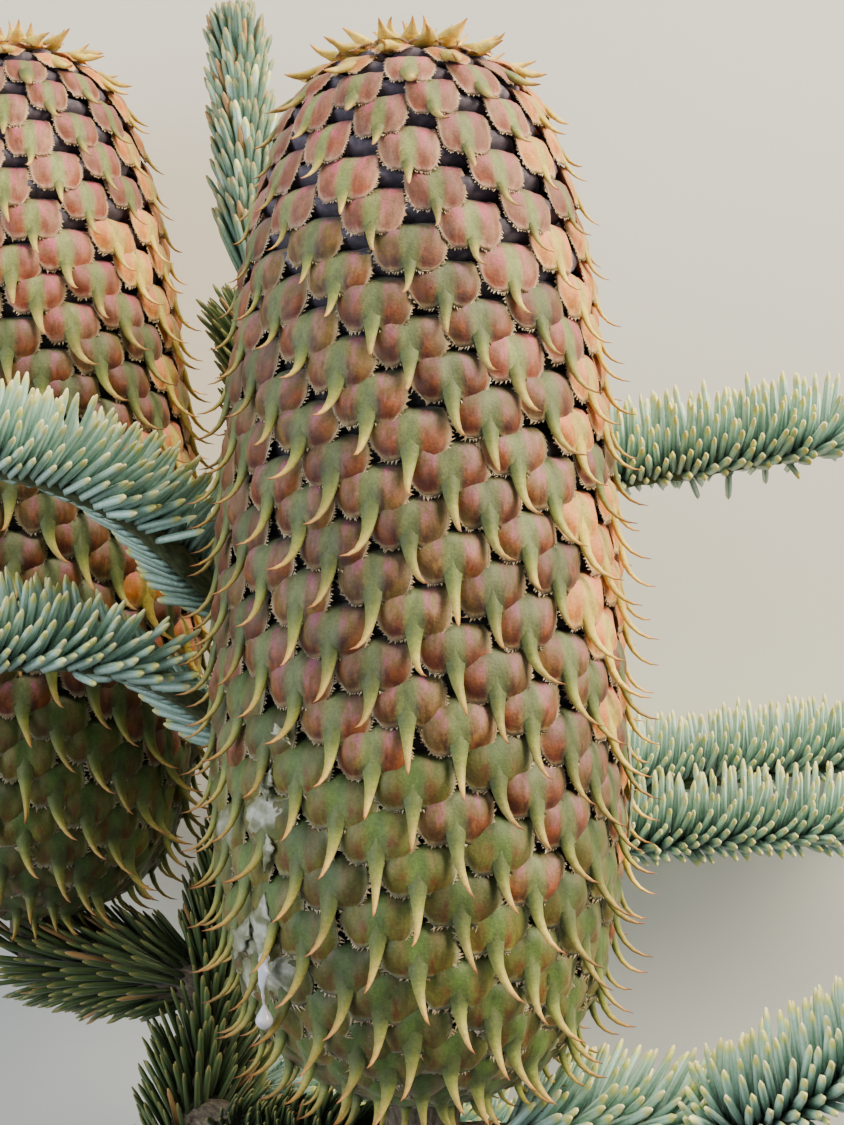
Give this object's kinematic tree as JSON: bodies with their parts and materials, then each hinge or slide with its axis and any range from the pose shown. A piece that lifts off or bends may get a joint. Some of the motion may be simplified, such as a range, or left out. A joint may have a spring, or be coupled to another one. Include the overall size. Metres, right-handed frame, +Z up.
{
  "type": "cut noble fir branch with cones",
  "caption": "Leader piece cut from a noble fir, lying on its side, with large barrel-shaped cones under down-turned spined bracts, bare-ended wood and blue-green needle shoots.",
  "frame": {"origin": "centre of the bounding box on the surface the branch lies on", "axes": "+Y is the way the branch grew, from the flat cut to the tips of the cones, +X is across it, +Z is up off the surface"},
  "size_m": [0.2506, 0.2542, 0.1516],
  "materials": {
    "ripening_bracts": "satin",
    "bark": "matte",
    "needles": "matte",
    "old_needles": "matte"
  },
  "bodies": {
    "root": {"main_cone": "ripening_bracts", "left_cone": "ripening_bracts", "stem": "bark", "main_cone_bough": "bark", "main_cone_stalk": "bark", "left_cone_bough": "bark", "leader_shoot": "needles", "left_upper_shoot": "needles", "left_lower_shoot": "needles", "right_upper_shoot": "needles", "right_middle_shoot": "needles", "right_lower_shoot": "needles", "low_back_shoot": "needles", "front_shoot": "needles", "stem_needles": "old_needles", "main_bough_needles": "old_needles", "left_bough_needles": "old_needles"}
  },
  "joints": []
}
